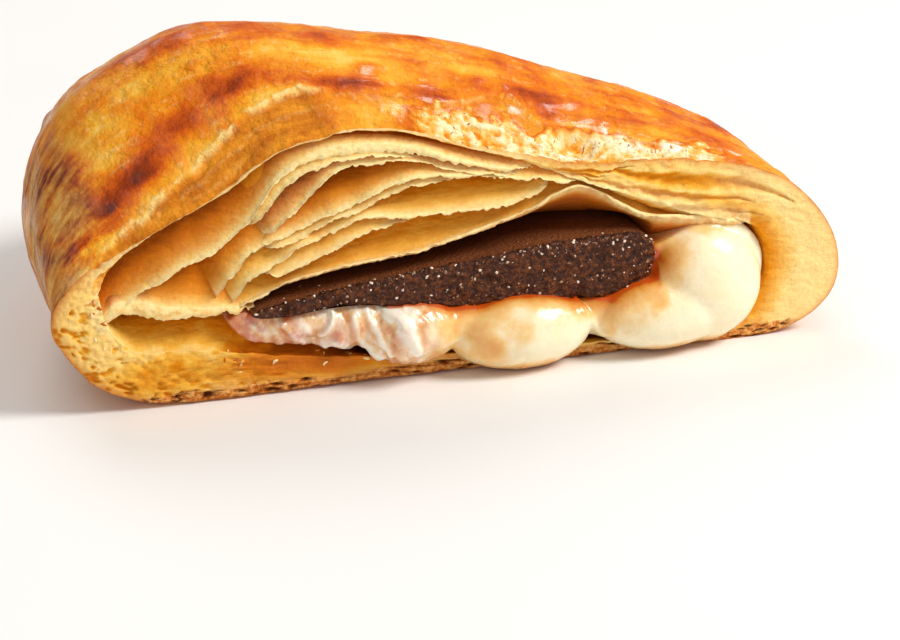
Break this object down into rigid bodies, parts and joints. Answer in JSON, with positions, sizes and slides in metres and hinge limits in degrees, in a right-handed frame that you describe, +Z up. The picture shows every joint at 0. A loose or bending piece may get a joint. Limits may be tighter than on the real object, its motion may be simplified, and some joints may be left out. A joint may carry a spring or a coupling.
{
  "type": "flaky pastry wrap",
  "caption": "Half of a golden flaky pastry wrap, cut across so that its open dough layers, its dark slab filling and the melted cream round it show.",
  "frame": {"origin": "centre of the bounding box's underside, on the surface the half rests on", "axes": "+X across the cut face towards the rounded nose, +Y from the cut face towards the wrap's closed end, +Z up"},
  "size_m": [0.103, 0.0706, 0.0444],
  "materials": {
    "pastry": "egg-washed golden brown crust, matte cream-yellow crumb and torn layers at the cut",
    "dark_slab": "satin top, grainy moist break at the cut",
    "melted_cream": "smooth, moist and glossy"
  },
  "bodies": {
    "root": {"pastry": "pastry", "dark_slab": "dark_slab", "melted_cream": "melted_cream"}
  },
  "joints": []
}
